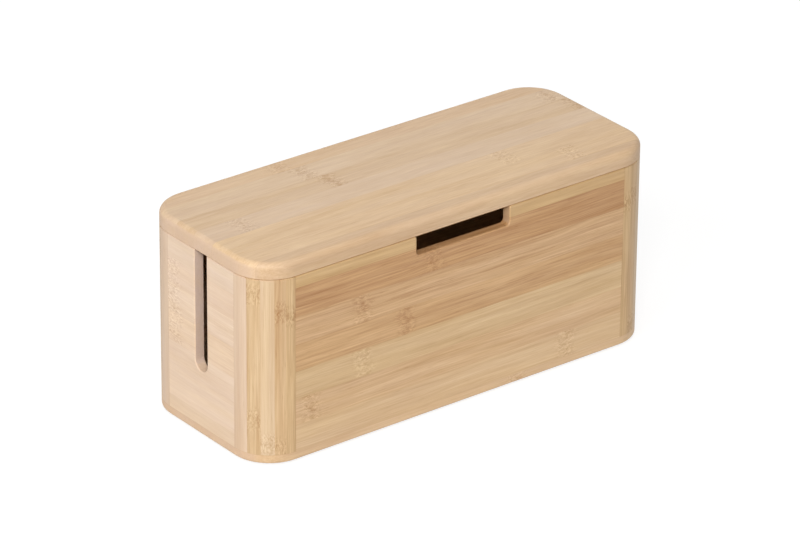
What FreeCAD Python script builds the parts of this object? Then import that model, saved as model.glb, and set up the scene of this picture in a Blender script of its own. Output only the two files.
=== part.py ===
"""Bamboo cable management box with a lift-off lid.

The box is a rounded rectangle in plan. Four panels stand on a base board between four quarter-round corner
posts, and a tongue on each panel end sits in a groove in the post. Both ends have a cable slot that is
open at the top, and the front has a wide notch under the lid. Screws come up through the base into the
panels, and four rubber feet carry the box. Four pegs under the lid drop into the corners of the walls.

Frame: millimetres, +Z up, the front faces -Y. The origin is under the middle of the box, on the surface
that the feet stand on.
"""
import FreeCAD, Part
import Sketcher
import os

V = FreeCAD.Vector
doc = FreeCAD.newDocument("cable_box")

# Driving dimensions in millimetres. The words say what each one measures.
SIZES = [
    ("box_length", 320, "outside, along X"),
    ("box_width", 125.5, "outside, along Y"),
    ("body_height", 128.5, "underside of the base to the top of the walls"),
    ("corner_radius", 27.5, "outside radius of the corners in plan"),
    ("wall", 7.5, "thickness of panels and posts"),
    ("arris", 0.6, "bevel on the edges of walls and lid"),
    ("base_thick", 6.3, "base board"),
    ("base_edge_radius", 2, "round on the base's lower edge"),
    ("lid_thick", 11.2, "lid board"),
    ("lid_edge_radius", 4.5, "round on the lid's upper edge"),
    ("tongue_thick", 2.5, "tongue on a panel's end"),
    ("tongue_reach", 5, "how far a tongue stands out"),
    ("tongue_gap", 0.1, "tongue to groove, each side and at the bottom"),
    ("slot_width", 13, "cable slot in an end panel"),
    ("slot_floor", 45.3, "underside of the base to the lowest point of a slot"),
    ("notch_width", 75, "notch in the front panel"),
    ("notch_depth", 13.6, "notch, down from the top of the wall"),
    ("notch_radius", 3, "lower corners of the notch"),
    ("notch_lip_radius", 1.5, "upper corners of the notch"),
    ("foot_diameter", 12, "rubber foot"),
    ("foot_height", 1.5, "rubber foot"),
    ("foot_bevel", 0.4, "bevel on a foot's lower edge"),
    ("foot_inset", 22, "foot centre in from both sides of the box"),
    ("screw_length", 20, "base screw, over its head"),
    ("screw_diameter", 2.5, "shank of a base screw"),
    ("screw_inset", 4.4, "screw axis in from the outside face"),
    ("long_spread", 105, "outer screws of a long side, from the middle"),
    ("short_spread", 20, "screws of a short side, from the middle"),
    ("head_diameter", 4.6, "countersunk screw head"),
    ("head_sink", 0.3, "screw head below the base's underside"),
    ("screw_gap", 0.05, "screw to its hole, all round"),
    ("peg_diameter", 12, "locating peg under the lid"),
    ("peg_drop", 7, "peg below the lid"),
    ("peg_seat", 5, "peg inside the lid"),
    ("peg_bevel", 1.2, "bevel on a peg's lower edge"),
    ("peg_gap", 0.05, "peg to its hole in the lid"),
    ("peg_play", 0.8, "peg to the inside of the corner"),
]

SIDES = {"left": -1, "right": 1}
DEPTHS = {"front": -1, "back": 1}
TINY = 1e-4


def make_sheet():
    """The spreadsheet that every size is read from: one row each for name, value and meaning."""
    made = doc.addObject("Spreadsheet::Sheet", "Sizes")
    for line, (alias, number, meaning) in enumerate(SIZES, start=1):
        made.set(f"A{line}", alias)
        made.set(f"B{line}", str(number))
        made.set(f"C{line}", meaning)
        made.setAlias(f"B{line}", alias)
    doc.recompute()
    return made


sheet = make_sheet()
aliases = {row[0] for row in SIZES}
nodes = {}


def cell(text):
    """An expression in which every word that is a size is read from its cell."""
    out = ""
    word = ""
    for letter in f"{text} ":
        if letter.isalnum() or letter == "_":
            word += letter
            continue
        out += f"Sizes.{word}" if word in aliases else word
        out += letter
        word = ""
    return out.strip()


def value(text):
    """The number that an expression gives with the sheet as it stands."""
    return float(sheet.evalExpression(cell(text)))


def bind(thing, **expressions):
    """Binds properties to expressions. A double underscore in a name stands for a dot."""
    for name, text in expressions.items():
        thing.setExpression(name.replace("__", "."), cell(text))


def place(thing, x="0", y="0", z="0", turn=0.0):
    """Turns a thing about Z by so many degrees and binds its position to the sizes."""
    thing.Placement = FreeCAD.Placement(V(0, 0, 0), FreeCAD.Rotation(V(0, 0, 1), turn))
    bind(thing, Placement__Base__x=x, Placement__Base__y=y, Placement__Base__z=z)
    return thing


def new_sketch(body, name, plane):
    """A sketch on one of the body's own origin planes."""
    sketch = body.newObject("Sketcher::SketchObject", name)
    sketch.AttachmentSupport = [(next(o for o in body.Origin.OriginFeatures if o.Role == plane), "")]
    sketch.MapMode = "FlatFace"
    return sketch


def hold(sketch, kind, where, name, text):
    """A named dimension in a sketch, bound to an expression."""
    index = sketch.addConstraint(Sketcher.Constraint(kind, *where, value(text)))
    sketch.renameConstraint(index, name)
    sketch.setExpression(f"Constraints.{name}", cell(text))


def polygon(body, name, plane, points):
    """A closed outline. Each corner is a pair of expressions measured from the sketch's origin."""
    sketch = new_sketch(body, name, plane)
    corners = [V(value(x), value(y), 0) for x, y in points]
    count = len(corners)
    for i in range(count):
        sketch.addGeometry(Part.LineSegment(corners[i], corners[(i + 1) % count]), False)
    for i in range(count):
        sketch.addConstraint(Sketcher.Constraint("Coincident", i, 2, (i + 1) % count, 1))
    for i, (x, y) in enumerate(points):
        hold(sketch, "DistanceX", (-1, 1, i, 1), f"x{i}_across", x)
        hold(sketch, "DistanceY", (-1, 1, i, 1), f"y{i}_along", y)
    return sketch


def pad(body, sketch, name, length):
    """Material on a sketch, along the sketch's normal."""
    feature = body.newObject("PartDesign::Pad", name)
    feature.Profile = sketch
    bind(feature, Length=length)
    sketch.Visibility = False
    doc.recompute()
    return feature


def pocket(body, sketch, name, length):
    """A cut through a sketch, along the sketch's normal."""
    feature = body.newObject("PartDesign::Pocket", name)
    feature.Profile = sketch
    feature.Reversed = True
    bind(feature, Length=length)
    sketch.Visibility = False
    doc.recompute()
    return feature


def turned(name, points, angle=360.0):
    """A body of revolution about its own Z. The points are pairs of radius and height."""
    body = doc.addObject("PartDesign::Body", name)
    sketch = polygon(body, f"{name}_profile", "XZ_Plane", points)
    feature = body.newObject("PartDesign::Revolution", f"{name}_turned")
    feature.Profile = sketch
    feature.ReferenceAxis = (sketch, ["V_Axis"])
    feature.Angle = angle
    doc.recompute()
    return body


def dress(body, kind, name, measure, wanted):
    """A fillet or chamfer, bound to a size, on the edges of the body for which wanted(edge) is true."""
    so_far = body.Tip
    edges = [f"Edge{i}" for i, edge in enumerate(so_far.Shape.Edges, start=1) if wanted(edge)]
    if not edges:
        raise ValueError(f"{name}: no edge to dress")
    feature = body.newObject(f"PartDesign::{kind}", name)
    feature.Base = (so_far, edges)
    bind(feature, **{"Radius" if kind == "Fillet" else "Size": measure})
    doc.recompute()
    return feature


def inside(edge, low, high):
    """True when the edge lies in the box between two corners. None leaves a direction free."""
    box = edge.BoundBox
    lows = (box.XMin, box.YMin, box.ZMin)
    highs = (box.XMax, box.YMax, box.ZMax)
    for axis in range(3):
        if low[axis] is not None and lows[axis] < low[axis] - 0.01:
            return False
        if high[axis] is not None and highs[axis] > high[axis] + 0.01:
            return False
    return True


def upright(edge):
    """True for a straight vertical edge."""
    return edge.BoundBox.ZLength > TINY and edge.BoundBox.XLength < TINY and edge.BoundBox.YLength < TINY


def rounded_board(name, thick):
    """A board with the outline of the box, its underside on the body's own XY plane."""
    body = doc.addObject("PartDesign::Body", name)
    x = "box_length / 2"
    y = "box_width / 2"
    corners = [(f"-{x}", f"-{y}"), (x, f"-{y}"), (x, y), (f"-{x}", y)]
    pad(body, polygon(body, f"{name}_outline", "XY_Plane", corners), f"{name}_pad", thick)
    dress(body, "Fillet", f"{name}_corners", "corner_radius", upright)
    return body


def compound(name, links):
    """One object that holds several others."""
    made = doc.addObject("Part::Compound", name)
    made.Links = links
    return made


def cut(name, base, tools):
    """The base with all the tools taken away."""
    made = doc.addObject("Part::Cut", name)
    made.Base = base
    made.Tool = compound(f"{name}_tools", tools)
    return made


def finished(node, made):
    """Gives a node its name and puts it on the list of what is written out."""
    made.Label = node
    nodes[node] = made
    return made


def screw_form(name, spot, mouth, room):
    """A countersunk screw, head down, grown all round by some room. The mouth is its outline below the head.

    Its own zero is the underside of the base.
    """
    profile = mouth + [
        (f"head_diameter / 2 + {room}", "head_sink"),
        (f"screw_diameter / 2 + {room}", "head_sink + (head_diameter - screw_diameter) / 2"),
        (f"screw_diameter / 2 + {room}", f"head_sink + screw_length + {room}"),
        ("0", f"head_sink + screw_length + {room}"),
    ]
    x, y = spot
    return place(turned(name, profile), x=x, y=y, z="foot_height")


def screw(node, spot):
    """A base screw and the hole that it needs in the base and in the panel above."""
    finished(node, screw_form(f"{node}_body", spot, [("0", "head_sink")], "0"))
    mouth = [("0", "-1"), ("head_diameter / 2 + screw_gap", "-1")]
    return screw_form(f"{node}_hole", spot, mouth, "screw_gap")


def side_frames():
    """Each wall's outer face: turn about Z, position, half length of the panel, and its screws."""
    half_x = "box_length / 2"
    half_y = "box_width / 2"
    line_x = "(box_length / 2 - screw_inset)"
    line_y = "(box_width / 2 - screw_inset)"
    along_x = ("-long_spread", "0", "long_spread")
    along_y = ("-short_spread", "short_spread")
    return {
        "front": (0, "0", f"-{half_y}", half_x, [(x, f"-{line_y}") for x in along_x]),
        "right": (90, half_x, "0", half_y, [(line_x, y) for y in along_y]),
        "back": (180, "0", half_y, half_x, [(x, line_y) for x in along_x]),
        "left": (270, f"-{half_x}", "0", half_y, [(f"-{line_x}", y) for y in along_y]),
    }


def panel_body(side, half):
    """A straight panel with a tongue at each end. Its own y runs from the outer face inwards."""
    name = f"{side}_blank"
    body = doc.addObject("PartDesign::Body", name)
    end = f"({half} - corner_radius)"
    tip = f"({end} + tongue_reach)"
    near = "(wall - tongue_thick) / 2"
    far = "(wall + tongue_thick) / 2"
    right_half = [(end, "0"), (end, near), (tip, near), (tip, far), (end, far), (end, "wall")]
    left_half = [(f"-{x}", y) for x, y in reversed(right_half)]
    sketch = polygon(body, f"{name}_plan", "XY_Plane", right_half + left_half)
    pad(body, sketch, f"{name}_pad", "body_height - base_thick")
    return body


def cut_notch(body):
    """The notch in the front panel, with its corners rounded."""
    x = "notch_width / 2"
    low = "body_height - base_thick - notch_depth"
    high = "body_height - base_thick + 1"
    sketch = polygon(body, "notch_outline", "XZ_Plane", [(f"-{x}", low), (x, low), (x, high), (f"-{x}", high)])
    feature = pocket(body, sketch, "notch_cut", "2 * wall")
    feature.Midplane = True
    bind(feature, Length="4 * wall")
    doc.recompute()
    side = value(x)
    floor = value(low)
    roof = value("body_height - base_thick")

    def corner(edge, height):
        for way in (-1, 1):
            if inside(edge, (way * side, None, height), (way * side, None, height)):
                return True
        return False

    dress(body, "Fillet", "notch_lower_corners", "notch_radius", lambda e: corner(e, floor))
    dress(body, "Fillet", "notch_upper_corners", "notch_lip_radius", lambda e: corner(e, roof))


def cut_slot(body, side):
    """The cable slot of an end panel: straight sides, round at the bottom, open at the top."""
    x = "slot_width / 2"
    low = "slot_floor + slot_width / 2 - base_thick"
    high = "body_height - base_thick + 1"
    corners = [(f"-{x}", low), (x, low), (x, high), (f"-{x}", high)]
    straight = pocket(body, polygon(body, f"{side}_slot_sides", "XZ_Plane", corners), f"{side}_slot", "wall")
    straight.Midplane = True
    bind(straight, Length="4 * wall")
    sketch = new_sketch(body, f"{side}_slot_end", "XZ_Plane")
    sketch.addGeometry(Part.Circle(V(0, value(low), 0), V(0, 0, 1), value(x)), False)
    sketch.addConstraint(Sketcher.Constraint("PointOnObject", 0, 3, -2))
    hold(sketch, "DistanceY", (-1, 1, 0, 3), "centre_height", low)
    hold(sketch, "Radius", (0,), "end_radius", x)
    rounded = pocket(body, sketch, f"{side}_slot_round", "wall")
    rounded.Midplane = True
    bind(rounded, Length="4 * wall")
    doc.recompute()


def bevel_panel(body, side, half):
    """Takes the sharp edge off the top of a panel and off its notch or slot, outside and inside."""
    end = value(f"{half} - corner_radius")
    thick = value("wall")
    top = value("body_height - base_thick")

    def sharp(edge):
        centre = edge.BoundBox.Center
        if abs(centre.x) > end - 0.01 or centre.z < 1:
            return False
        if edge.BoundBox.ZLength < TINY and centre.z < top - 1 and edge.BoundBox.XLength > 2 * end - 1:
            return False
        return any(inside(edge, (None, y, None), (None, y, None)) for y in (0, thick))

    dress(body, "Chamfer", f"{side}_bevel", "arris", sharp)


def make_walls_and_base():
    """The base board, the four panels and the screws that hold them together."""
    base = rounded_board("base_blank", "base_thick")
    dress(base, "Fillet", "base_lower_edge", "base_edge_radius",
          lambda e: inside(e, (None, None, 0), (None, None, 0)))
    place(base, z="foot_height")
    all_holes = []
    for side, (turn, x, y, half, spots) in side_frames().items():
        holes = [screw(f"base_screw_{side}_{i}", spot) for i, spot in enumerate(spots, start=1)]
        all_holes += holes
        body = panel_body(side, half)
        if side == "front":
            cut_notch(body)
        if side in SIDES:
            cut_slot(body, side)
        bevel_panel(body, side, half)
        place(body, x=x, y=y, z="foot_height + base_thick", turn=turn)
        node = f"{side}_end_panel" if side in SIDES else f"{side}_panel"
        finished(node, cut(f"{side}_drilled", body, holes))
    finished("base_board", cut("base_drilled", base, all_holes))


def make_post(depth, side, turn):
    """A quarter-round corner post with a groove in each end face for a panel's tongue."""
    way_x = SIDES[side]
    way_y = DEPTHS[depth]
    name = f"post_{depth}_{side}"
    height = "(body_height - base_thick)"
    inner = "(corner_radius - wall)"
    profile = [
        (inner, "0"),
        ("corner_radius", "0"),
        ("corner_radius", f"{height} - arris"),
        ("corner_radius - arris", height),
        (f"{inner} + arris", height),
        (inner, f"{height} - arris"),
    ]
    body = turned(name, profile, 90.0)
    # The turned quarter lies between its own +X and +Y, or +X and -Y. Its middle says which.
    way = 1 if body.Tip.Shape.BoundBox.Center.y > 0 else -1
    near = "corner_radius - wall / 2 - tongue_thick / 2 - tongue_gap"
    far = "corner_radius - wall / 2 + tongue_thick / 2 + tongue_gap"
    deep = "tongue_reach + tongue_gap"
    sign = "" if way > 0 else "-"
    for label, points in {
        "x": [(near, "-1"), (far, "-1"), (far, f"{sign}({deep})"), (near, f"{sign}({deep})")],
        "y": [("-1", f"{sign}({near})"), (deep, f"{sign}({near})"), (deep, f"{sign}({far})"),
              ("-1", f"{sign}({far})")],
    }.items():
        if label == "x" and way < 0:
            points = [(x, "1" if y == "-1" else y) for x, y in points]
        sketch = polygon(body, f"{name}_groove_{label}", "XY_Plane", points)
        pocket(body, sketch, f"{name}_groove_cut_{label}", f"{height} + 1")
    centre_x = f"{way_x} * (box_length / 2 - corner_radius)"
    centre_y = f"{way_y} * (box_width / 2 - corner_radius)"
    place(body, x=centre_x, y=centre_y, z="foot_height + base_thick", turn=turn - (0 if way > 0 else -90))
    finished(f"corner_{name}", body)


def make_feet():
    """Four stick-on rubber feet under the base."""
    profile = [
        ("0", "0"),
        ("foot_diameter / 2 - foot_bevel", "0"),
        ("foot_diameter / 2", "foot_bevel"),
        ("foot_diameter / 2", "foot_height"),
        ("0", "foot_height"),
    ]
    for depth, way_y in DEPTHS.items():
        for side, way_x in SIDES.items():
            foot = turned(f"foot_body_{depth}_{side}", profile)
            place(foot, x=f"{way_x} * (box_length / 2 - foot_inset)", y=f"{way_y} * (box_width / 2 - foot_inset)")
            finished(f"foot_{depth}_{side}", foot)


def make_lid():
    """The lid board and the four pegs that drop into the corners of the walls."""
    lid = rounded_board("lid_blank", "lid_thick")
    top = value("lid_thick")
    dress(lid, "Fillet", "lid_upper_edge", "lid_edge_radius",
          lambda e: inside(e, (None, None, top), (None, None, top)))
    dress(lid, "Chamfer", "lid_lower_edge", "arris",
          lambda e: inside(e, (None, None, 0), (None, None, 0)))
    seam = "foot_height + body_height"
    place(lid, z=seam)
    profile = [
        ("0", "-peg_drop"),
        ("peg_diameter / 2 - peg_bevel", "-peg_drop"),
        ("peg_diameter / 2", "peg_bevel - peg_drop"),
        ("peg_diameter / 2", "peg_seat"),
        ("0", "peg_seat"),
    ]
    # On the diagonal of the corner, a peg stops short of the inside of the post by its play.
    out = "(corner_radius - wall - peg_play - peg_diameter / 2) / sqrt(2)"
    sockets = []
    for depth, way_y in DEPTHS.items():
        for side, way_x in SIDES.items():
            x = f"{way_x} * (box_length / 2 - corner_radius + {out})"
            y = f"{way_y} * (box_width / 2 - corner_radius + {out})"
            peg = turned(f"peg_{depth}_{side}", profile)
            place(peg, x=x, y=y, z=seam)
            finished(f"lid_peg_{depth}_{side}", peg)
            socket = doc.addObject("Part::Cylinder", f"socket_{depth}_{side}")
            place(socket, x=x, y=y, z=f"{seam} - 1")
            bind(socket, Radius="peg_diameter / 2 + peg_gap", Height="peg_seat + peg_gap + 1")
            sockets.append(socket)
    finished("lid_board", cut("lid_bored", lid, sockets))


def check_and_write():
    """Stops on any object that failed, then writes one file for each node."""
    doc.recompute()
    for thing in doc.Objects:
        if "Invalid" in thing.State or "Error" in thing.State:
            raise RuntimeError(f"{thing.Name} failed: {thing.State}")
        shape = getattr(thing, "Shape", None)
        if shape is None or thing.TypeId.startswith("App::"):
            continue
        if shape.isNull() or not shape.isValid():
            raise RuntimeError(f"{thing.Name} has no valid shape")
    os.makedirs("parts", exist_ok=True)
    for name, node in nodes.items():
        if len(node.Shape.Solids) != 1:
            raise RuntimeError(f"{name} has {len(node.Shape.Solids)} solids")
        node.Shape.exportStep(f"parts/{name}.step")


make_walls_and_base()
for corner in (("front", "left", 180), ("front", "right", 270), ("back", "right", 0), ("back", "left", 90)):
    make_post(*corner)
make_feet()
make_lid()
check_and_write()
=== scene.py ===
"""Looks for a bamboo cable management box with a lift-off lid, laid out as an add-on.

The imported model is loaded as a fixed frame, in metres. The boards, posts, pegs and feet keep their
shapes and get materials that are worked out from each piece's place in the box. The base screws are
made here with Geometry Nodes, with their cross recess and thread. The stage adds the floor, the
surround, the lights and the camera.
"""

import math

import bpy
from mathutils import Matrix, Vector


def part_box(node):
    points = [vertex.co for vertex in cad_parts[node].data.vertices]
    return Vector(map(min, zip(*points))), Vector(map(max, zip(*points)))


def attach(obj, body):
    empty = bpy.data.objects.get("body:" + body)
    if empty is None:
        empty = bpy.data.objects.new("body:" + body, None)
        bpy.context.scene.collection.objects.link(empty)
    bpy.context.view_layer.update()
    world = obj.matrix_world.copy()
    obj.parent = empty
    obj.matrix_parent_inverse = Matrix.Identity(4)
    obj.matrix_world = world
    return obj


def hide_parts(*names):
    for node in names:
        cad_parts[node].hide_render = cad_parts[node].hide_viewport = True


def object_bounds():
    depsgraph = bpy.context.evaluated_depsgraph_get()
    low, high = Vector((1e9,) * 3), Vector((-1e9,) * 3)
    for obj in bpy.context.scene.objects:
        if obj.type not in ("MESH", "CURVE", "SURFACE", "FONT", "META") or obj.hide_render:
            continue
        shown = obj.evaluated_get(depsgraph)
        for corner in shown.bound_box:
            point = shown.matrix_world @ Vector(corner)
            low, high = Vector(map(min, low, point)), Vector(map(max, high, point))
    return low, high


bl_info = {
    "name": "Bamboo cable box",
    "version": (1, 0, 0),
    "blender": (4, 5, 0),
    "location": "View3D > Sidebar > Cable box",
    "description": "Materials, screws and stage for a bamboo cable management box",
    "category": "Object",
}

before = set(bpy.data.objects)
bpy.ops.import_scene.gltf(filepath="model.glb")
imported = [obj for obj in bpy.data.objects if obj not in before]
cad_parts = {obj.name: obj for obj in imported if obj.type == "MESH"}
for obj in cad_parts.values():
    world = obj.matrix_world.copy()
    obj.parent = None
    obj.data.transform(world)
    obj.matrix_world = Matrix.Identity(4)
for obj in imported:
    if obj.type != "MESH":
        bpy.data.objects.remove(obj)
CAD_LOW, CAD_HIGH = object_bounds()

MM = 0.001
AXES = "XYZ"
CORNERS = [(depth, end) for depth in ("front", "back") for end in ("left", "right")]


# Colour


def linear(red, green, blue):
    """A colour from screen values of 0 to 255, as the linear light that a shader takes."""
    parts = []
    for level in (red, green, blue):
        share = level / 255
        parts.append(share / 12.92 if share <= 0.04045 else ((share + 0.055) / 1.055) ** 2.4)
    return (*parts, 1.0)


WHITE = (1.0, 1.0, 1.0, 1.0)


# Shader maths

# Blender's noise stays close to its middle, so it is spread to cover roughly -1 to 1.
NOISE_MIDDLE = 0.5
NOISE_SPREAD = 2.6

BUMP_DISTANCE = 0.2 * MM


class Wire:
    """A number that varies over a surface. Arithmetic on wires adds Math nodes to their tree."""

    def __init__(self, graph, socket):
        self.graph = graph
        self.socket = socket

    def math(self, operation, *others):
        """One Math node, with this wire in its first socket."""
        return self.graph.node("ShaderNodeMath", {"operation": operation}, [self, *others])

    def __add__(self, other):
        return self.math("ADD", other)

    def __sub__(self, other):
        return self.math("SUBTRACT", other)

    def __rsub__(self, other):
        return self.graph.node("ShaderNodeMath", {"operation": "SUBTRACT"}, [other, self])

    def __mul__(self, other):
        return self.math("MULTIPLY", other)

    def __truediv__(self, other):
        return self.math("DIVIDE", other)

    def __abs__(self):
        return self.math("ABSOLUTE")

    def __gt__(self, other):
        return self.math("GREATER_THAN", other)

    __radd__ = __add__
    __rmul__ = __mul__

    def ramp(self, low, high, start=0.0, end=1.0):
        """The value carried smoothly from the range low..high to start..end, and held outside it."""
        settings = {"interpolation_type": "SMOOTHSTEP"}
        return self.graph.node("ShaderNodeMapRange", settings, [self, low, high, start, end])

    def fade(self, near, far, strength=1.0):
        """The full strength within one distance of 0, and nothing beyond the other."""
        return abs(self).ramp(near, far, strength, 0.0)


class Graph:
    """Builds the nodes of one material or of one Geometry Nodes tree."""

    def __init__(self, tree):
        self.tree = tree
        self.tree.nodes.clear()

    def node(self, kind, settings=None, inputs=(), out=0):
        """Adds a node: its settings first, then the values or links of its sockets. Gives one output."""
        made = self.tree.nodes.new(kind)
        for name, setting in (settings or {}).items():
            setattr(made, name, setting)
        named = inputs.items() if isinstance(inputs, dict) else enumerate(inputs)
        for key, value in named:
            for one in value if isinstance(value, list) else [value]:
                if isinstance(one, Wire):
                    self.tree.links.new(one.socket, made.inputs[key])
                else:
                    made.inputs[key].default_value = one
        return Wire(self, made.outputs[out]) if len(made.outputs) else made

    def outputs(self, wire):
        """All outputs of the node that a wire comes from."""
        return [Wire(self, socket) for socket in wire.socket.node.outputs]

    def place(self):
        """The point's place in the box, as three wires."""
        at = self.node("ShaderNodeTexCoord", out="Object")
        split = self.node("ShaderNodeSeparateXYZ", inputs=[at])
        return self.outputs(split)

    def facing(self, axis):
        """How squarely the surface faces along an axis of the box, from 0 to 1."""
        normal = self.node("ShaderNodeTexCoord", out="Normal")
        split = self.node("ShaderNodeSeparateXYZ", inputs=[normal])
        return abs(self.outputs(split)[AXES.index(axis)])

    def vector(self, x, y, z):
        """Three numbers or wires as one vector."""
        return self.node("ShaderNodeCombineXYZ", inputs=[x, y, z])

    def lift(self, geometry, height):
        """Geometry moved up by a height."""
        up = self.vector(0.0, 0.0, height)
        return self.node("GeometryNodeTransform", inputs={"Geometry": geometry, "Translation": up})

    def noise(self, vector, scale=1.0, detail=2.0, roughness=0.5):
        """Noise about 0, from roughly -1 to 1."""
        inputs = {"Vector": vector, "Scale": scale, "Detail": detail, "Roughness": roughness}
        return (self.node("ShaderNodeTexNoise", inputs=inputs) - NOISE_MIDDLE) * NOISE_SPREAD

    def cells(self, vector, scale):
        """Distance to the nearest of many scattered points."""
        return self.node("ShaderNodeTexVoronoi", inputs={"Vector": vector, "Scale": scale})

    def mix(self, share, first, second):
        """Two colours mixed by a share."""
        inputs = {0: share, 6: first, 7: second}
        return self.node("ShaderNodeMix", {"data_type": "RGBA"}, inputs, out=2)

    def seen(self):
        """1 where the camera sees the surface, also through gloss or glass, and 0 for other light."""
        path = self.node("ShaderNodeLightPath")
        rays = {wire.socket.name: wire for wire in self.outputs(path)}
        direct = rays["Is Camera Ray"] + rays["Is Glossy Ray"] + rays["Is Transmission Ray"]
        return direct.math("MINIMUM", 1.0)

    def finish(self, colour, roughness, height, relief, **fixed):
        """The surface: its colour, roughness and relief, and sockets that are even all over."""
        bump_inputs = {"Strength": relief, "Distance": BUMP_DISTANCE, "Height": height}
        bump = self.node("ShaderNodeBump", inputs=bump_inputs)
        inputs = {"Base Color": colour, "Roughness": roughness, "Normal": bump}
        inputs.update({name.replace("_", " "): value for name, value in fixed.items()})
        surface = self.node("ShaderNodeBsdfPrincipled", inputs=inputs)
        self.node("ShaderNodeOutputMaterial", inputs=[surface])


def new_material(name):
    """An empty node material."""
    made = bpy.data.materials.new(name)
    made.use_nodes = True
    return made, Graph(made.node_tree)


def dress(node, material):
    """Puts a material on a node of the frame, whose mesh keeps its own."""
    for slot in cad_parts[node].material_slots:
        slot.link = "OBJECT"
        slot.material = material


# Bamboo

# A stave has up to two knuckles. One that it lacks lies nine metres along the grain, off every board.
KNUCKLES = 2
NO_KNUCKLE = (9.0, 0.0)


class Stave:
    """One strip of a glued board: its width, its colour, how streaky it is, and its knuckles.

    A knuckle is a pair: its place along the grain in millimetres, and how dark it is, from -1 to 1.
    """

    def __init__(self, width, colour, streak=1.0, *knuckles):
        self.width = width
        self.colour = linear(*colour)
        self.streak = streak
        placed = [(place * MM, dark) for place, dark in knuckles]
        self.knuckles = (placed + [NO_KNUCKLE] * KNUCKLES)[:KNUCKLES]


class Board:
    """A glued board: the axis that its grain runs along, and the axis that its staves are laid along.

    Joints are planes where it meets its neighbours. Short fibres look fuzzy rather than striped, and
    bold ones stand out more. Painted shade can darken a lower edge at a given height, standing in for
    the shadow line where the lid rests on the walls.
    """

    end_tint = (0.96, 0.98, 1.14)
    end_share = 0.7

    def __init__(self, grain, stack, staves, joints=(), short=1.0, bold=1.0, painted_shadow_line=None):
        self.grain = grain
        self.stack = stack
        self.through = next(axis for axis in AXES if axis not in (grain, stack))
        self.staves = staves
        self.joints = joints
        self.short = short
        self.bold = bold
        # Height of the painted shade along a lower edge, which stands in for the shadow line under the
        # lid.
        self.painted_shadow_line = painted_shadow_line

    def end_colour(self):
        """The colour of end grain: the staves' mean, a little rosier."""
        count = len(self.staves)
        means = [sum(stave.colour[part] for stave in self.staves) / count for part in range(3)]
        return (*(mean * tint for mean, tint in zip(means, self.end_tint)), 1.0)

    def seams(self, node):
        """Where the seams between the staves lie, with the staves spread over the node's box."""
        low, high = (corner[AXES.index(self.stack)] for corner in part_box(node))
        total = sum(stave.width for stave in self.staves)
        places = []
        reached = 0.0
        for stave in self.staves[:-1]:
            reached += stave.width
            places.append(low + (high - low) * reached / total)
        return places


# Staves are listed from the low end of the axis that they are laid along. Knuckles are in millimetres
# along the grain, in the box's own frame.
LID_STAVES = [
    Stave(11.5, (211, 179, 143), 1.0),
    Stave(19, (219, 187, 148), 1.1, (105, 0.2)),
    Stave(20, (220, 189, 151), 1.0, (66, 0.2)),
    Stave(19.5, (217, 189, 159), 0.8, (-128.7, 0.3)),
    Stave(19, (214, 184, 149), 1.0, (-45, 1.0), (155, 0.9)),
    Stave(19, (218, 190, 158), 0.9, (-52.5, 0.6), (148.7, 0.5)),
    Stave(17.5, (216, 184, 148), 1.0, (-61, 0.4)),
]
FRONT_STAVES = [
    Stave(18.5, (217, 186, 146), 0.8, (86, 0.3)),
    Stave(18.3, (214, 180, 139), 1.0, (-120, 0.6)),
    Stave(19.2, (212, 181, 138), 0.9, (-80, -0.3)),
    Stave(18.8, (200, 160, 115), 1.4, (-46, 0.9)),
    Stave(19.5, (203, 165, 123), 1.5, (-80, 0.7)),
    Stave(19.8, (193, 150, 105), 1.5, (-22.5, 0.1)),
    Stave(8.1, (205, 170, 122), 0.9),
]
BACK_STAVES = [
    Stave(9.1, (208, 174, 133), 0.9, (70, 0.4)),
    Stave(19, (212, 180, 140), 0.9, (-98, 0.2)),
    Stave(20.4, (205, 168, 128), 1.2, (31, 0.6)),
    Stave(19.7, (211, 178, 140), 0.9, (-24, 0.1), (134, 0.6)),
    Stave(19.5, (200, 162, 121), 1.4, (92, 0.8)),
    Stave(19.3, (207, 172, 130), 1.1, (-112, 0.4)),
    Stave(15.2, (212, 178, 136), 0.9, (12, 0.0)),
]
LEFT_STAVES = [
    Stave(9.3, (222, 196, 167), 0.8),
    Stave(19.2, (227, 202, 177), 0.7),
    Stave(20.3, (224, 198, 173), 0.8),
    Stave(20.8, (225, 197, 168), 1.2, (28, 0.2)),
    Stave(19.5, (227, 201, 174), 1.2, (29, 0.3)),
    Stave(17.7, (224, 197, 171), 0.9, (30, 0.0)),
    Stave(15.4, (226, 202, 178), 0.7),
]
RIGHT_STAVES = [
    Stave(13.3, (221, 193, 163), 0.8, (-21, 0.3)),
    Stave(19.5, (224, 199, 171), 0.7),
    Stave(18.9, (218, 189, 158), 1.1),
    Stave(19.8, (223, 197, 169), 0.8, (17, 0.2)),
    Stave(19.2, (219, 191, 161), 1.1),
    Stave(19.6, (224, 200, 173), 0.7, (-19, 0.4)),
    Stave(11.9, (221, 195, 165), 0.8),
]
BASE_STAVES = [
    Stave(13.2, (218, 186, 147), 0.8, (44, 0.3)),
    Stave(19.4, (215, 182, 143), 1.0, (-71, 0.6)),
    Stave(18.9, (220, 190, 154), 0.9, (118, 0.1)),
    Stave(19.8, (213, 180, 141), 1.1, (-8, 0.5)),
    Stave(19.1, (219, 189, 152), 0.9, (-126, 0.2)),
    Stave(19.6, (216, 184, 146), 1.0, (83, 0.7)),
    Stave(15.5, (220, 190, 153), 0.8, (-37, 0.3)),
]
# A post's layers, from the outer end of the box inwards. Its knuckles are heights.
POST_LAYERS = [
    Stave(2.1, (214, 187, 160), 0.6),
    Stave(4.8, (203, 172, 132), 1.8, (119, 0.4), (33, 0.4)),
    Stave(7.0, (214, 187, 152), 0.9, (15, 0.3)),
    Stave(6.8, (205, 172, 131), 1.6, (107, 0.8), (12, 0.3)),
    Stave(6.8, (206, 173, 129), 1.8, (103, 0.9)),
]
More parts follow.
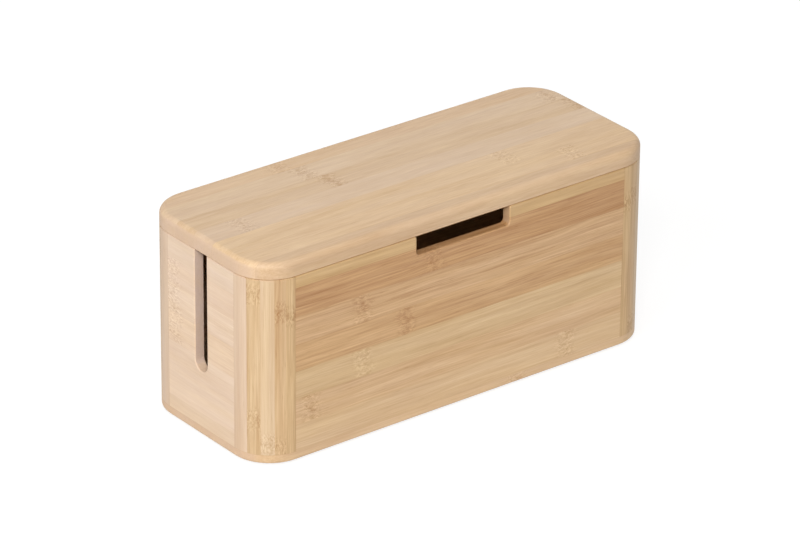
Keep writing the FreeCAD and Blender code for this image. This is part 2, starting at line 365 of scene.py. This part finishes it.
# A peg is turned from one piece.
PEG_STAVES = [Stave(12, (206, 168, 122), 1.2)]

# The number that each board's pattern starts from, so that no two look alike, and the step from one of
# its staves to the next.
SEEDS = {
    "lid_board": 3.0,
    "base_board": 11.0,
    "front_panel": 20.0,
    "back_panel": 29.0,
    "left_end_panel": 38.0,
    "right_end_panel": 47.0,
    "corner_post_front_left": 60.0,
    "corner_post_front_right": 63.0,
    "corner_post_back_left": 67.0,
    "corner_post_back_right": 70.0,
    "lid_peg_front_left": 80.0,
    "lid_peg_front_right": 82.0,
    "lid_peg_back_left": 85.0,
    "lid_peg_back_right": 87.0,
}
SEED_STEP = 1.37


class Layer:
    """Layers of fibres: waves per metre along the grain and across it, and a shift for each.

    The shift keeps one layer's pattern apart from another's.
    """

    hair = (45.0, 1900.0, 0.0)
    fine = (20.0, 820.0, 3.0)
    middle = (7.0, 260.0, 6.0)
    broad = (9.0, 70.0, 9.0)
    pores = (110.0, 1500.0, 12.0)
    weave = (380.0, 900.0, 15.0)
    tint = (13.0, 130.0, 18.0)


class Waves:
    """Waves per metre of the other patterns: along, across or through a stave, and on end grain."""

    wander_along = 11.0
    wander_across = 25.0
    swerve_along = 380.0
    swerve_across = 240.0
    ragged_across = 150.0
    ragged_through = 90.0
    drift = 6.0
    glue = 24.0
    bundles = 1150.0
    mottle = 420.0

    # Steps that keep a stave's second knuckle and its drift apart from the rest of its pattern.
    knuckle_step = 5.0
    drift_step = 3.0


class Stray:
    """How far in metres fibres wander, swerve at a knuckle, and leave its edge ragged."""

    wander = 1.6 * MM
    swerve = 1.3 * MM
    ragged = 4.0 * MM


class Reach:
    """Distances in metres from a mark: it is whole up to the first, and gone beyond the second."""

    patch = (3.5 * MM, 11.0 * MM)
    core = (0.4 * MM, 3.6 * MM)
    seam = (0.05 * MM, 0.4 * MM)
    joint = (0.1 * MM, 0.5 * MM)
    # Painted shade: the shadow line along the lid's lower edge.
    painted_shadow_line = (0.3 * MM, 0.8 * MM)


class Span:
    """Ranges that ramps turn into masks: of noise, of distance to a bundle, and of facing an axis."""

    pores = (0.3, 0.85)
    flecks = (-0.55, 0.55)
    bundles = (0.12, 0.42)
    square = (0.72, 0.95)
    level = (0.75, 0.95)


class Shade:
    """How far each part of the pattern lightens or darkens the bamboo, as a share of its colour."""

    hair = 0.09
    fine = 0.105
    middle = 0.09
    pores = 0.085
    broad = 0.075
    drift = 0.03
    flecks = 0.15
    stain = 0.045
    core = 0.10
    mottle = 0.03
    bundles = 0.055
    end_grain = 0.005
    seam = 0.06
    joint = 0.09
    # Painted shade: how dark the shadow line along the lid's lower edge is.
    painted_shadow_line = 0.5
    tint = 0.03

    # How faint or dark the glue in a seam is: the middle, and how far it strays.
    glue = 0.5
    glue_stray = 0.8

    # Red, green and blue: a dark fibre takes away more green and blue than red, and a tint makes a
    # strand yellower.
    depths = (1.0, 1.45, 1.9)
    warmths = (0.3, 0.0, -2.0)


class Gloss:
    """Roughness of plain bamboo, what is added to it, and the thin coat over it."""

    plain = 0.5
    fine = 0.05
    pores = 0.06
    end_grain = 0.14
    coat = 0.05
    coat_roughness = 0.35


class Relief:
    """Strength of the bump, and the height of each part of the pattern in it."""

    strength = 0.3
    fine = 0.6
    flecks = 0.8
    pores = 0.7
    seam = 0.5


class Pattern:
    """The pattern of pressed bamboo on one node, as wires of its material."""

    def __init__(self, graph, node, board):
        self.graph = graph
        self.board = board
        self.at = dict(zip(AXES, graph.place()))
        self.along = self.at[board.grain]
        self.across = self.at[board.stack]
        self.depth = self.at[board.through]
        self.seams = board.seams(node)
        self.passed = [self.across > seam for seam in self.seams]
        # Each stave's pattern starts from a number of its own. Adding it to a wire makes it one, also on
        # a board of one stave.
        numbers = [SEEDS[node] + SEED_STEP * count for count in range(len(board.staves))]
        self.start = self.along * 0.0 + self.by_stave(numbers)
        self.patch, self.stain, self.core = self.knuckles()
        self.bent = self.bend()

    def by_stave(self, values):
        """A number that changes from stave to stave: each wire in passed is 1 beyond one seam."""
        total = values[0]
        for wire, before, after in zip(self.passed, values, values[1:]):
            if before != after:
                total = wire * (after - before) + total
        return total

    def knuckles(self):
        """Ragged patches where the fibres cross, how dark they are, and their narrow dark cores."""
        patch = 0.0
        stain = 0.0
        core = 0.0
        for turn in range(KNUCKLES):
            spots = [stave.knuckles[turn] for stave in self.board.staves]
            if all(spot == NO_KNUCKLE for spot in spots):
                continue
            side = self.across * Waves.ragged_across
            through = self.depth * Waves.ragged_through
            point = self.graph.vector(side, self.start + Waves.knuckle_step * turn, through)
            ragged = self.graph.noise(point, detail=3.0) * Stray.ragged
            off = self.along - self.by_stave([place for place, _ in spots]) + ragged
            dark = self.by_stave([darkness for _, darkness in spots])
            here = off.fade(*Reach.patch)
            patch = here + patch
            stain = here * dark + stain
            core = off.fade(*Reach.core) * dark + core
        return patch, stain, core

    def bend(self):
        """The place across the grain as the fibres have it: they wander, and swerve near a knuckle."""
        side = self.across * Waves.wander_across
        through = self.depth * Waves.wander_across
        slow = self.graph.vector(self.along * Waves.wander_along + self.start, side, through)
        wander = self.graph.noise(slow, detail=1.0) * Stray.wander
        side = self.across * Waves.swerve_across
        quick = self.graph.vector(self.along * Waves.swerve_along, side, self.start)
        swerve = self.graph.noise(quick, detail=2.0) * self.patch * Stray.swerve
        return self.across + wander + swerve

    def strands(self, layer, short=1.0, detail=2.0, roughness=0.5):
        """One layer of fibres along the grain, of full length or shorter."""
        length, width, shift = layer
        along = self.along * (length * short) + (self.start + shift)
        point = self.graph.vector(along, self.bent * width, self.depth * width)
        return self.graph.noise(point, detail=detail, roughness=roughness)

    def drift(self):
        """A slow change of tone along each stave."""
        point = self.graph.vector(self.along * Waves.drift, self.start * Waves.drift_step, 0.0)
        return self.graph.noise(point, detail=1.0)

    def end_grain(self):
        """Where a face is square to the grain, and the bundles and the mottle that show there."""
        square = self.graph.facing(self.board.grain).ramp(*Span.square)
        spread = self.graph.vector(self.across + self.start, self.depth, 0.0)
        bundles = self.graph.cells(spread, Waves.bundles).ramp(*Span.bundles, 1.0, 0.0)
        mottle = self.graph.noise(spread, Waves.mottle, detail=2.0)
        return square, bundles, mottle

    def glue(self):
        """The seams between the staves, and how dark their glue is from place to place."""
        line = 0.0
        for seam in self.seams:
            line = (self.across - seam).fade(*Reach.seam) + line
        point = self.graph.vector(self.along * Waves.glue, self.start, self.depth * Waves.glue)
        dark = self.graph.noise(point, detail=1.0) * Shade.glue_stray + Shade.glue
        return line, dark

    def edges(self):
        """The dark lines where the board meets its neighbours, and painted shade along a lower edge of
        its upright faces.
        """
        dark = 0.0
        for axis, place in self.board.joints:
            dark = (self.at[axis] - place).fade(*Reach.joint, Shade.joint) + dark
        # Painted shade on the upright faces along the lid's lower edge, standing in for its shadow line.
        if self.board.painted_shadow_line is not None:
            upright = 1.0 - self.graph.facing("Z").ramp(*Span.level)
            dark = (self.at["Z"] - self.board.painted_shadow_line).fade(*Reach.painted_shadow_line, Shade.painted_shadow_line) * upright + dark
        return dark

    def stave_colour(self):
        """The colour of the stave that a point is on."""
        colour = self.graph.node("ShaderNodeRGB")
        colour.socket.default_value = self.board.staves[0].colour
        for wire, stave in zip(self.passed, self.board.staves[1:]):
            colour = self.graph.mix(wire, colour, stave.colour)
        return colour


def bamboo(name, node, board):
    """Pressed bamboo on one node: staves, fibres, pores, knuckles, end grain and fine glue lines."""
    material, graph = new_material(name)
    pattern = Pattern(graph, node, board)
    hair = pattern.strands(Layer.hair, board.short, roughness=0.6)
    fine = pattern.strands(Layer.fine, board.short)
    middle = pattern.strands(Layer.middle, board.short, detail=3.0)
    broad = pattern.strands(Layer.broad)
    pores = pattern.strands(Layer.pores, detail=1.0).ramp(*Span.pores)
    weave = pattern.strands(Layer.weave, detail=3.0, roughness=0.65)
    flecks = weave.ramp(*Span.flecks, -1.0, 1.0) * pattern.patch
    square, bundles, mottle = pattern.end_grain()
    line, dark = pattern.glue()

    # How much lighter or darker a point is than its stave.
    fibres = hair * Shade.hair + fine * Shade.fine + middle * Shade.middle - pores * Shade.pores
    streak = pattern.by_stave([stave.streak for stave in board.staves])
    shade = fibres * board.bold * streak + broad * Shade.broad + pattern.drift() * Shade.drift
    shade = shade + flecks * Shade.flecks - pattern.stain * Shade.stain - pattern.core * Shade.core
    cut = mottle * Shade.mottle - bundles * Shade.bundles - Shade.end_grain
    shade = shade + (cut - shade) * square
    # Glue lines, dark joints, and painted shade for the lid's shadow line.
    shade = shade - line * dark * Shade.seam - pattern.edges()
    tint = pattern.strands(Layer.tint) * Shade.tint
    channels = zip(Shade.depths, Shade.warmths)
    levels = graph.vector(*[shade * depth + 1.0 + tint * warmth for depth, warmth in channels])

    colour = graph.mix(square * board.end_share, pattern.stave_colour(), board.end_colour())
    colour = graph.node("ShaderNodeVectorMath", {"operation": "MULTIPLY"}, [colour, levels])
    roughness = fine * Gloss.fine + pores * Gloss.pores + square * Gloss.end_grain + Gloss.plain
    face = fine * Relief.fine + flecks * Relief.flecks - pores * Relief.pores
    height = face * (1.0 - square) - square * bundles - line * Relief.seam
    coat = {"Coat_Weight": Gloss.coat, "Coat_Roughness": Gloss.coat_roughness}
    graph.finish(colour, roughness, height, Relief.strength, **coat)
    return material


def joints_at(node, *sides):
    """Planes where a node meets its neighbours: pairs of an axis and a side of its box, such as X-."""
    low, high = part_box(node)
    found = []
    for side in sides:
        axis, end = side
        corner = low if end == "-" else high
        found.append((axis, corner[AXES.index(axis)]))
    return found


# The pieces, one function for each kind

TONGUE = 5 * MM


def dress_lid():
    """The lid board: staves from front to back, end grain at its ends, and painted shade along its lower
    edge for the shadow line where it rests on the walls.
    """
    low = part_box("lid_board")[0]
    # Painted shade along the lower edge stands in for the shadow line on the walls.
    board = Board("X", "Y", LID_STAVES, short=2.4, bold=0.8, painted_shadow_line=low.z)
    dress("lid_board", bamboo("Bamboo lid", "lid_board", board))


def dress_pegs():
    """The locating pegs, with the grain upright."""
    for depth, end in CORNERS:
        node = f"lid_peg_{depth}_{end}"
        dress(node, bamboo(f"Peg {depth} {end}", node, Board("Z", "X", PEG_STAVES)))


def dress_base():
    """The base board, with the seam where the walls stand on it."""
    board = Board("X", "Y", BASE_STAVES, joints_at("base_board", "Z+"))
    dress("base_board", bamboo("Bamboo base", "base_board", board))


def dress_panels():
    """The four panels. Each one meets a post at both ends, a tongue's length inside its own end."""
    for node, grain, staves, short, bold in (
        ("front_panel", "X", FRONT_STAVES, 1.0, 1.35),
        ("back_panel", "X", BACK_STAVES, 1.0, 1.35),
        ("left_end_panel", "Y", LEFT_STAVES, 2.0, 0.65),
        ("right_end_panel", "Y", RIGHT_STAVES, 2.0, 0.65),
    ):
        (axis, low), (axis, high) = joints_at(node, f"{grain}-", f"{grain}+")
        joints = [(axis, low + TONGUE), (axis, high - TONGUE)]
        dress(node, bamboo(f"Bamboo {node}", node, Board(grain, "Z", staves, joints, short, bold)))


def dress_posts():
    """The corner posts, with upright grain. The layers run inwards from the end of the box."""
    for depth, end in CORNERS:
        node = f"corner_post_{depth}_{end}"
        layers = POST_LAYERS if end == "left" else POST_LAYERS[::-1]
        sides = ("X+" if end == "left" else "X-", "Y+" if depth == "front" else "Y-")
        board = Board("Z", "X", layers, joints_at(node, *sides), short=0.9, bold=1.05)
        dress(node, bamboo(f"Bamboo {node}", node, board))


def dress_feet(colour):
    """The rubber feet: black, faintly grained, dusty towards the floor."""
    grain_waves = 2600.0
    dusty_height = 1.2 * MM
    dust_colour = linear(120, 112, 104)
    material, graph = new_material("Foot rubber")
    x, y, z = graph.place()
    grain = graph.noise(graph.vector(x, y, z), grain_waves, detail=3.0)
    dust = (grain * 0.5 + 0.6) * z.ramp(0.0, dusty_height, 1.0, 0.1)
    tone = graph.mix(dust * 0.35, tuple(colour), dust_colour)
    graph.finish(tone, grain * 0.08 + 0.7, grain, relief=0.3)
    for depth, end in CORNERS:
        dress(f"foot_{depth}_{end}", material)


def screw_steel():
    """Yellowish zinc plating, clouded with grey, with a fine turned finish."""
    cloud_waves = 900.0
    turned_waves = 5000.0
    yellow = linear(196, 186, 158)
    grey = linear(170, 166, 160)
    material, graph = new_material("Screw steel")
    x, y, z = graph.place()
    clouds = graph.noise(graph.vector(x, y, z), cloud_waves, detail=3.0)
    rings = graph.noise(graph.vector(x * 40.0, y * 40.0, z * turned_waves), detail=1.0)
    tone = graph.mix(clouds * 0.5 + 0.4, yellow, grey)
    graph.finish(tone, clouds * 0.1 + 0.32, clouds * 0.3 + rings, relief=0.15, Metallic=1.0)
    return material


class Screw:
    """Sizes of a base screw in metres. The head, the core and the length follow the frame's screws."""

    head_radius = 2.3 * MM
    core_radius = 0.9 * MM
    crest_radius = 1.2 * MM
    head_height = 1.05 * MM
    length = 20.0 * MM

    # The recess: its arms' width as a share of its own, and its depth in head heights.
    arm = 0.26
    recess = 0.75

    # The thread, in head heights: where it starts, and how far short of the tip it ends.
    thread_start = 1.5
    thread_gap = 0.1

    # Faces round the head and the core, steps in a turn of the thread, and sides of its ridge.
    head_sides = 40
    core_sides = 20
    turn_steps = 12
    ridge_sides = 3


def screw_tree(material):
    """The tree that puts a countersunk, cross-head, threaded screw on every point of a mesh."""
    tree = bpy.data.node_groups.new("Base screws", "GeometryNodeTree")
    tree.interface.new_socket("Geometry", in_out="INPUT", socket_type="NodeSocketGeometry")
    for name in (
        "Head Radius", "Core Radius", "Crest Radius", "Head Height", "Length", "Pitch", "Drive Size",
    ):
        tree.interface.new_socket(name, in_out="INPUT", socket_type="NodeSocketFloat")
    tree.interface.new_socket("Geometry", in_out="OUTPUT", socket_type="NodeSocketGeometry")
    graph = Graph(tree)
    points = graph.node("NodeGroupInput")
    sizes = {wire.socket.name: wire for wire in graph.outputs(points)}
    core = sizes["Core Radius"]
    head = sizes["Head Height"]
    length = sizes["Length"]
    drive = sizes["Drive Size"]

    # The head is a cone from z = 0, and the shank starts half way up it.
    cone = graph.node("GeometryNodeMeshCone", inputs={
        "Vertices": Screw.head_sides,
        "Radius Top": core,
        "Radius Bottom": sizes["Head Radius"],
        "Depth": head,
    })
    shank_length = length - head * 0.5
    shank = graph.node("GeometryNodeMeshCylinder", inputs={
        "Vertices": Screw.core_sides,
        "Radius": core,
        "Depth": shank_length,
    })
    shank = graph.lift(shank, head * 0.5 + shank_length * 0.5)
    whole = graph.node("GeometryNodeMeshBoolean", {"operation": "UNION"}, {1: [cone, shank]})

    # Two bars, centred on the head's face, cut the cross.
    arm = drive * Screw.arm
    bars = []
    for wide, deep in ((drive, arm), (arm, drive)):
        size = graph.vector(wide, deep, head * (2 * Screw.recess))
        bars.append(graph.node("GeometryNodeMeshCube", inputs={"Size": size}))
    cut = graph.node("GeometryNodeMeshBoolean", {"operation": "DIFFERENCE"}, {0: whole, 1: bars})

    # A three-sided ridge follows a helix on the core.
    rise = length - head * (Screw.thread_start + Screw.thread_gap)
    helix = graph.node("GeometryNodeCurveSpiral", inputs={
        "Resolution": Screw.turn_steps,
        "Rotations": rise / sizes["Pitch"],
        "Start Radius": core,
        "End Radius": core,
        "Height": rise,
    })
    helix = graph.lift(helix, head * Screw.thread_start)
    ridge = graph.node("GeometryNodeCurvePrimitiveCircle", inputs={"Resolution": Screw.ridge_sides})
    ridge_size = sizes["Crest Radius"] - core
    ridge = graph.node("GeometryNodeTransform", inputs={
        "Geometry": ridge,
        "Scale": graph.vector(ridge_size, ridge_size, ridge_size),
    })
    thread = graph.node("GeometryNodeCurveToMesh", inputs={
        "Curve": helix,
        "Profile Curve": ridge,
        "Fill Caps": True,
    })

    screw = graph.node("GeometryNodeJoinGeometry", inputs={0: [cut, thread]})
    placed = graph.node("GeometryNodeInstanceOnPoints", inputs={"Points": points, "Instance": screw})
    solid = graph.node("GeometryNodeRealizeInstances", inputs=[placed])
    steel = graph.node("GeometryNodeSetMaterial", inputs={"Geometry": solid, "Material": material})
    graph.node("NodeGroupOutput", inputs=[steel])
    return tree


def make_screws(pitch, drive):
    """All base screws, one at each screw of the frame, as one mesh."""
    nodes = sorted(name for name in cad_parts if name.startswith("base_screw_"))
    corners = [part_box(node) for node in nodes]
    spots = [Vector(((low.x + high.x) / 2, (low.y + high.y) / 2, low.z)) for low, high in corners]
    places = bpy.data.meshes.new("Screw places")
    places.from_pydata(spots, [], [])
    holder = bpy.data.objects.new("base_screws", places)
    bpy.context.scene.collection.objects.link(holder)
    modifier = holder.modifiers.new("Base screws", "NODES")
    modifier.node_group = screw_tree(screw_steel())
    values = {
        "Head Radius": Screw.head_radius,
        "Core Radius": Screw.core_radius,
        "Crest Radius": Screw.crest_radius,
        "Head Height": Screw.head_height,
        "Length": Screw.length,
        "Pitch": pitch,
        "Drive Size": drive,
    }
    for item in modifier.node_group.interface.items_tree:
        if item.in_out == "INPUT" and item.name in values:
            modifier[item.identifier] = values[item.name]
    depsgraph = bpy.context.evaluated_depsgraph_get()
    made = bpy.data.meshes.new_from_object(holder.evaluated_get(depsgraph))
    holder.modifiers.clear()
    holder.data = made
    if not made.polygons:
        raise RuntimeError("the screw tree gave no mesh")
    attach(holder, "box")
    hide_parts(*nodes)


# The stage


class Shot:
    """Where the photograph was taken from, in the box's own frame, and its lens in millimetres."""

    azimuth = math.radians(-37.92)
    elevation = math.radians(26.27)
    roll = math.radians(0.51)
    distance = 3315.9 * MM
    target = Vector((0.41, 3.01, 66.38)) * MM
    lens = 230.9
    sensor = 36.0
    nearest = 0.1
    farthest = 20.0


class Lamp:
    """A soft square light: its place and its side in metres, and its colour."""

    def __init__(self, place, side, colour):
        self.place = Vector(place)
        self.side = side
        self.colour = colour


LAMPS = {
    "Key": Lamp((-2.25, -0.75, 1.45), 1.5, (1.0, 0.985, 0.97)),
    "Fill": Lamp((-1.57, -2.01, 1.99), 0.75, (1.0, 0.97, 0.94)),
    "Top": Lamp((0.1, 0.2, 1.8), 1.4, (1.0, 0.99, 0.98)),
}

FLOOR_HALF = 3.0
FLOOR_PAINT = linear(232, 231, 229)
FLOOR_GLOW = 0.8


def make_camera():
    """The camera, turned about its line of sight by the photograph's small roll."""
    flat = math.cos(Shot.elevation)
    back = Vector((
        math.sin(Shot.azimuth) * flat,
        -math.cos(Shot.azimuth) * flat,
        math.sin(Shot.elevation),
    ))
    level = Vector((0, 0, 1)).cross(back).normalized()
    up = back.cross(level)
    right = level * math.cos(Shot.roll) + up * math.sin(Shot.roll)
    above = up * math.cos(Shot.roll) - level * math.sin(Shot.roll)
    data = bpy.data.cameras.new("Camera")
    data.lens = Shot.lens
    data.sensor_width = Shot.sensor
    data.clip_start = Shot.nearest
    data.clip_end = Shot.farthest
    camera = bpy.data.objects.new("Camera", data)
    turn = Matrix((right, above, back)).transposed().to_4x4()
    camera.matrix_world = Matrix.Translation(Shot.target + back * Shot.distance) @ turn
    bpy.context.scene.collection.objects.link(camera)
    bpy.context.scene.camera = camera


def make_light(name, power):
    """One lamp, turned to the middle of the box."""
    lamp = LAMPS[name]
    data = bpy.data.lights.new(name, "AREA")
    data.size = lamp.side
    data.energy = power
    data.color = lamp.colour
    light = bpy.data.objects.new(name, data)
    middle = (CAD_LOW + CAD_HIGH) / 2
    light.location = lamp.place
    light.rotation_euler = (lamp.place - middle).to_track_quat("Z", "Y").to_euler()
    bpy.context.scene.collection.objects.link(light)


def make_floor(shading):
    """A wide pale floor, clear from below.

    The camera, gloss and glass see it as white, apart from the object's soft shadow close by.
    """
    half = FLOOR_HALF
    corners = [(-half, -half, 0), (half, -half, 0), (half, half, 0), (-half, half, 0)]
    mesh = bpy.data.meshes.new("Floor")
    mesh.from_pydata(corners, [], [(0, 1, 2, 3)])
    floor = bpy.data.objects.new("Floor", mesh)
    bpy.context.scene.collection.objects.link(floor)
    material, graph = new_material("Floor")
    paint = graph.node("ShaderNodeBsdfDiffuse", inputs={"Color": FLOOR_PAINT})
    shadow = graph.node("ShaderNodeBsdfDiffuse", inputs={"Color": (shading, shading, shading, 1.0)})
    glow = graph.node("ShaderNodeEmission", inputs={"Color": WHITE, "Strength": FLOOR_GLOW})
    white = graph.node("ShaderNodeAddShader", inputs=[shadow, glow])
    top = graph.node("ShaderNodeMixShader", inputs=[graph.seen(), paint, white])
    clear = graph.node("ShaderNodeBsdfTransparent")
    below = graph.node("ShaderNodeNewGeometry", out="Backfacing")
    surface = graph.node("ShaderNodeMixShader", inputs=[below, top, clear])
    graph.node("ShaderNodeOutputMaterial", inputs=[surface])
    mesh.materials.append(material)


def make_world(strength):
    """An even white surround. The camera, gloss and glass see it as plain white."""
    world = bpy.data.worlds.new("Surround")
    world.use_nodes = True
    graph = Graph(world.node_tree)
    level = graph.seen() * (1.0 - strength) + strength
    sky = graph.node("ShaderNodeBackground", inputs={"Color": WHITE, "Strength": level})
    graph.node("ShaderNodeOutputWorld", inputs=[sky])
    bpy.context.scene.world = world


# The add-on


class CableBoxSettings(bpy.types.PropertyGroup):
    """Sizes, colours and light levels that a user would change."""

    thread_pitch: bpy.props.FloatProperty(
        name="Thread pitch",
        description="Rise of a base screw's thread in one turn",
        default=1.2 * MM, min=0.5 * MM, unit="LENGTH", precision=5,
    )
    drive_size: bpy.props.FloatProperty(
        name="Drive size",
        description="Cross recess of a base screw, over its arms",
        default=2.4 * MM, min=1.0 * MM, unit="LENGTH", precision=5,
    )
    rubber: bpy.props.FloatVectorProperty(
        name="Rubber",
        description="Colour of the feet",
        default=linear(34, 33, 32), size=4, min=0.0, max=1.0, subtype="COLOR",
    )
    surround: bpy.props.FloatProperty(
        name="Surround",
        description="Strength of the even light from all round",
        default=0.3, min=0.0, subtype="FACTOR",
    )
    key_power: bpy.props.FloatProperty(
        name="Key light",
        description="Power of the main light, from the left end",
        default=27.0, min=0.0, unit="POWER",
    )
    fill_power: bpy.props.FloatProperty(
        name="Fill light",
        description="Power of the light from near the camera",
        default=46.0, min=0.0, unit="POWER",
    )
    top_power: bpy.props.FloatProperty(
        name="Top light",
        description="Power of the light from above",
        default=5.6, min=0.0, unit="POWER",
    )
    floor_shading: bpy.props.FloatProperty(
        name="Floor shading",
        description="How much of the floor's own shading the camera sees",
        default=0.3, min=0.0, max=1.0, subtype="FACTOR",
    )


class CABLEBOX_OT_lid(bpy.types.Operator):
    """Gives the lid board and its pegs their bamboo"""

    bl_idname = "cablebox.lid"
    bl_label = "Lid and pegs"

    def execute(self, context):
        dress_lid()
        dress_pegs()
        return {"FINISHED"}


class CABLEBOX_OT_base(bpy.types.Operator):
    """Gives the base board its bamboo"""

    bl_idname = "cablebox.base"
    bl_label = "Base"

    def execute(self, context):
        dress_base()
        return {"FINISHED"}


class CABLEBOX_OT_walls(bpy.types.Operator):
    """Gives the panels and the corner posts their bamboo"""

    bl_idname = "cablebox.walls"
    bl_label = "Walls"

    def execute(self, context):
        dress_panels()
        dress_posts()
        return {"FINISHED"}


class CABLEBOX_OT_feet(bpy.types.Operator):
    """Gives the four feet their rubber"""

    bl_idname = "cablebox.feet"
    bl_label = "Feet"

    def execute(self, context):
        dress_feet(context.scene.cable_box.rubber)
        return {"FINISHED"}


class CABLEBOX_OT_screws(bpy.types.Operator):
    """Makes the base screws with their recess and thread"""

    bl_idname = "cablebox.screws"
    bl_label = "Base screws"

    def execute(self, context):
        settings = context.scene.cable_box
        make_screws(settings.thread_pitch, settings.drive_size)
        return {"FINISHED"}


class CABLEBOX_OT_stage(bpy.types.Operator):
    """Sets up the floor, the surround, the lights and the camera"""

    bl_idname = "cablebox.stage"
    bl_label = "Stage"

    def execute(self, context):
        settings = context.scene.cable_box
        context.scene.view_settings.view_transform = "Standard"
        make_floor(settings.floor_shading)
        make_world(settings.surround)
        make_light("Key", settings.key_power)
        make_light("Fill", settings.fill_power)
        make_light("Top", settings.top_power)
        make_camera()
        return {"FINISHED"}


OPERATORS = (
    CABLEBOX_OT_lid,
    CABLEBOX_OT_base,
    CABLEBOX_OT_walls,
    CABLEBOX_OT_feet,
    CABLEBOX_OT_screws,
    CABLEBOX_OT_stage,
)


class CABLEBOX_PT_sidebar(bpy.types.Panel):
    """Lists the settings and the steps"""

    bl_idname = "CABLEBOX_PT_sidebar"
    bl_label = "Cable box"
    bl_space_type = "VIEW_3D"
    bl_region_type = "UI"
    bl_category = "Cable box"

    def draw(self, context):
        settings = context.scene.cable_box
        for name in CableBoxSettings.__annotations__:
            self.layout.prop(settings, name)
        for operator in OPERATORS:
            self.layout.operator(operator.bl_idname)


CLASSES = (CableBoxSettings, *OPERATORS, CABLEBOX_PT_sidebar)


def register():
    for each in CLASSES:
        bpy.utils.register_class(each)
    bpy.types.Scene.cable_box = bpy.props.PointerProperty(type=CableBoxSettings)


def unregister():
    del bpy.types.Scene.cable_box
    for each in reversed(CLASSES):
        bpy.utils.unregister_class(each)


def main():
    """Makes everything in order."""
    register()
    for operator in OPERATORS:
        group, name = operator.bl_idname.split(".")
        getattr(getattr(bpy.ops, group), name)()


if __name__ == "__main__":
    main()
